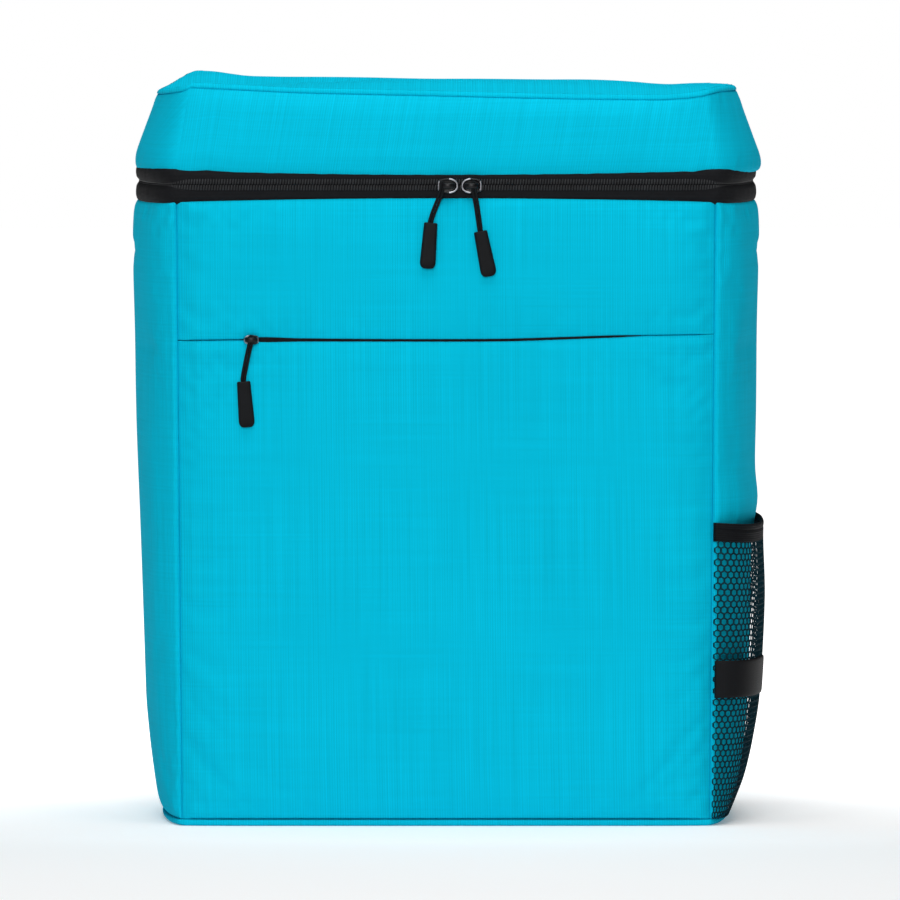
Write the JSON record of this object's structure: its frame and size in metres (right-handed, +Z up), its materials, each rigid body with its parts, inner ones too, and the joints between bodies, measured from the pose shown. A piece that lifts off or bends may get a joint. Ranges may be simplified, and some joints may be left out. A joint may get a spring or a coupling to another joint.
{
  "type": "cooler backpack",
  "caption": "Boxy insulated backpack with a tapered zipped lid, flat front pocket, net side pocket, padded shoulder straps and a grab handle.",
  "frame": {"origin": "middle of the flat underside of the base", "axes": "+Z up, front towards -Y, wearer's left at +X, where the net pocket is"},
  "size_m": [0.3272, 0.2399, 0.381],
  "materials": {
    "shell_cloth": "woven cyan polyester over foam, matt with a faint sheen",
    "zip_tape": "black woven tape",
    "zip_coil": "black nylon coil",
    "slider_metal": "gunmetal enamel",
    "pull_cord": "black braided cord",
    "pull_rubber": "black moulded rubber",
    "pocket_net": "black knitted net",
    "elastic_band": "black ribbed elastic",
    "label_cloth": "black woven satin label, bare",
    "strap_cloth": "woven cyan polyester over foam",
    "buckle_plastic": "black moulded acetal",
    "webbing": "black ribbed webbing"
  },
  "bodies": {
    "root": {"front_pocket": "shell_cloth", "front_panel": "shell_cloth", "left_side_panel": "shell_cloth", "right_side_panel": "shell_cloth", "back_panel": "shell_cloth", "base_panel": "shell_cloth", "lid_band": "shell_cloth", "lid_top": "shell_cloth", "zip_tape_lower": "zip_tape", "zip_tape_upper": "zip_tape", "zip_chain": "zip_coil", "pocket_zip_tape": "zip_coil", "zip_slider_left": "slider_metal", "zip_slider_right": "slider_metal", "pocket_slider": "slider_metal", "pull_cord_left": "pull_cord", "pull_cord_right": "pull_cord", "pocket_pull_cord": "pull_cord", "pull_end_left": "pull_rubber", "pull_end_right": "pull_rubber", "pocket_pull_end": "pull_rubber", "mesh_pocket": "pocket_net", "pocket_elastic": "elastic_band", "woven_label": "label_cloth", "shoulder_strap_left": "strap_cloth", "shoulder_strap_right": "strap_cloth", "adjuster_left": "buckle_plastic", "adjuster_right": "buckle_plastic", "webbing_left": "webbing", "webbing_right": "webbing", "grab_handle": "webbing"}
  },
  "joints": []
}
